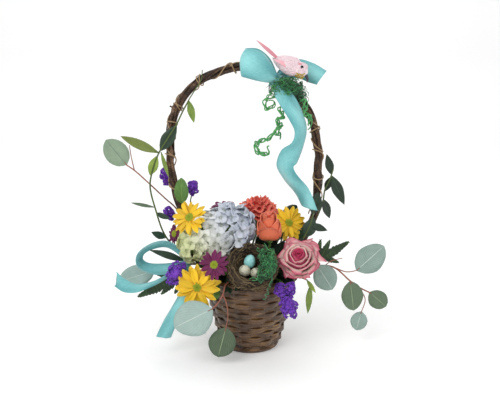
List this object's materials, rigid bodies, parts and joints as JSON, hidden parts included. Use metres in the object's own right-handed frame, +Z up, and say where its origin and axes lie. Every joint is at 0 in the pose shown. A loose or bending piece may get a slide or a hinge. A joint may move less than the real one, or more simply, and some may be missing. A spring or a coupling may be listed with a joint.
{
  "type": "flower basket arrangement",
  "caption": "Woven basket with a tall arched vine handle, filled with mixed flowers and foliage, a nest of small eggs, a little bird and ribbon bows.",
  "frame": {"origin": "centre of the basket's foot, on the surface that it stands on", "axes": "+Z up, -Y towards the arrangement's front, +X to the viewer's right; the handle's arch lies in the XZ plane"},
  "size_m": [0.4276, 0.2226, 0.468],
  "materials": {
    "wicker": "dark stained reed, satin",
    "vine": "peeled and barked vine, matt",
    "cane": "pale split cane, matt",
    "liner": "thin dark green plastic",
    "foam": "wet green floral foam",
    "stem": "green plant stem, satin",
    "hydrangea": "pale blue-white petals with cream-green lower florets",
    "rose": "cream petals with deep pink edges",
    "coral": "coral petals, satin",
    "carnation": "coral-red ruffled petals, matt",
    "yellow_petal": "golden yellow petals, satin",
    "magenta_petal": "magenta petals, satin",
    "statice": "violet papery florets, matt",
    "eucalyptus": "silver-green waxy leaf",
    "fern": "dark green leathery frond",
    "dark_leaf": "glossy dark green leaf",
    "light_leaf": "olive green leaf, satin",
    "nest": "dry twigs and grass, matt",
    "moss": "dyed curly green moss, matt",
    "blue_egg": "painted pale blue egg, fine dark specks",
    "speckled_egg": "painted cream egg, dark speckles",
    "bird": "pale pink feathered craft bird",
    "beak": "grey bill",
    "ribbon": "turquoise woven ribbon, soft sheen"
  },
  "bodies": {
    "root": {"basket": "wicker", "rim_hoop": "wicker", "liner": "liner", "floral_foam": "foam", "handle_rod_1": "vine", "handle_rod_2": "vine", "handle_rod_3": "vine", "handle_binding": "cane", "hydrangea_florets": "hydrangea", "hydrangea_stem": "stem", "rose_petals": "rose", "rose_stem": "stem", "coral_rosebud_petals": "coral", "coral_rosebud_stem": "stem", "carnation_petals": "carnation", "carnation_stem": "stem", "yellow_daisy_upper_petals": "yellow_petal", "yellow_daisy_upper_stem": "stem", "yellow_daisy_lower_petals": "yellow_petal", "yellow_daisy_lower_stem": "stem", "yellow_daisy_right_petals": "yellow_petal", "yellow_daisy_right_stem": "stem", "magenta_daisy_front_petals": "magenta_petal", "magenta_daisy_front_stem": "stem", "magenta_daisy_top_petals": "magenta_petal", "magenta_daisy_top_stem": "stem", "magenta_daisy_back_petals": "magenta_petal", "magenta_daisy_back_stem": "stem", "magenta_daisy_left_petals": "magenta_petal", "magenta_daisy_left_stem": "stem", "statice_left": "statice", "statice_low_right": "statice", "statice_behind_handle": "statice", "eucalyptus_left": "eucalyptus", "eucalyptus_front": "eucalyptus", "eucalyptus_right": "eucalyptus", "eucalyptus_low_left": "eucalyptus", "fern_right": "fern", "fern_left": "fern", "fern_back_left": "fern", "fern_back_right": "fern", "fern_back_tall": "fern", "smilax_left": "light_leaf", "smilax_right": "dark_leaf", "salal_right": "dark_leaf", "ruscus_low_right": "light_leaf", "salal_back": "dark_leaf", "salal_back_left": "dark_leaf", "nest": "nest", "blue_egg": "blue_egg", "speckled_egg_left": "speckled_egg", "speckled_egg_right": "speckled_egg", "nest_moss": "moss", "bird_body": "bird", "bird_beak": "beak", "handle_bow": "ribbon", "handle_moss": "moss", "basket_bow": "ribbon"}
  },
  "joints": []
}
